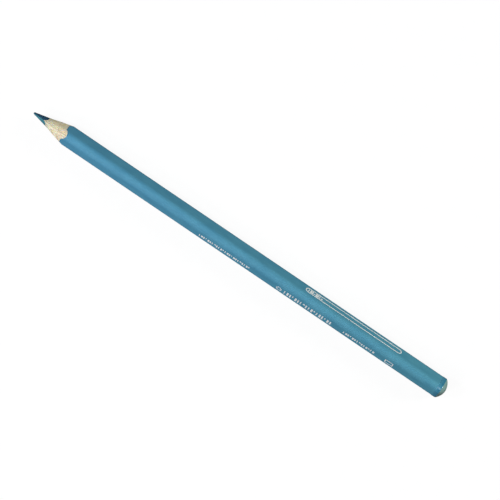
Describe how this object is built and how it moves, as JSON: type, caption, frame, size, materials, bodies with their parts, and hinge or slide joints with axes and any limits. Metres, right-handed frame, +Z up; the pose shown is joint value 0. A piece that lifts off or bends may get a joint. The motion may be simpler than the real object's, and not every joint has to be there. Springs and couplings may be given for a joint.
{
  "type": "coloured pencil",
  "caption": "Sharpened coloured pencil with a soft-cornered three-sided barrel, a matt teal finish, a printed name field and a rounded dipped end, lying on one flat side.",
  "frame": {"origin": "under the middle of the pencil's length and width, on the surface that it lies on", "axes": "+X along the barrel from the point to the dipped end, +Z up, with one rounded corner of the barrel on top and one flat side underneath"},
  "size_m": [0.175, 0.0078, 0.0074],
  "materials": {
    "coloured_lead": "waxy teal coloured lead",
    "pencil_wood": "bare pale softwood with fine grain",
    "wood_glue": "thin dried glue line",
    "primer": "pale filler",
    "teal_lacquer": "teal lacquer",
    "matt_finish": "soft matt teal coat",
    "dip_lacquer": "dipped glossy teal lacquer",
    "silver_foil": "stamped silver-white foil"
  },
  "bodies": {
    "root": {"lead_core": "coloured_lead", "lead_glue": "wood_glue", "slat_left": "pencil_wood", "slat_right": "pencil_wood", "seam_glue_upper": "wood_glue", "seam_glue_lower": "wood_glue", "primer_coat": "primer", "lacquer_coat": "teal_lacquer", "matt_coat": "matt_finish", "end_dip": "dip_lacquer", "name_field": "silver_foil", "name_field_caption": "silver_foil", "square_mark": "silver_foil", "series_strokes": "silver_foil", "title_strokes": "silver_foil", "ring_mark": "silver_foil", "origin_strokes": "silver_foil"}
  },
  "joints": []
}
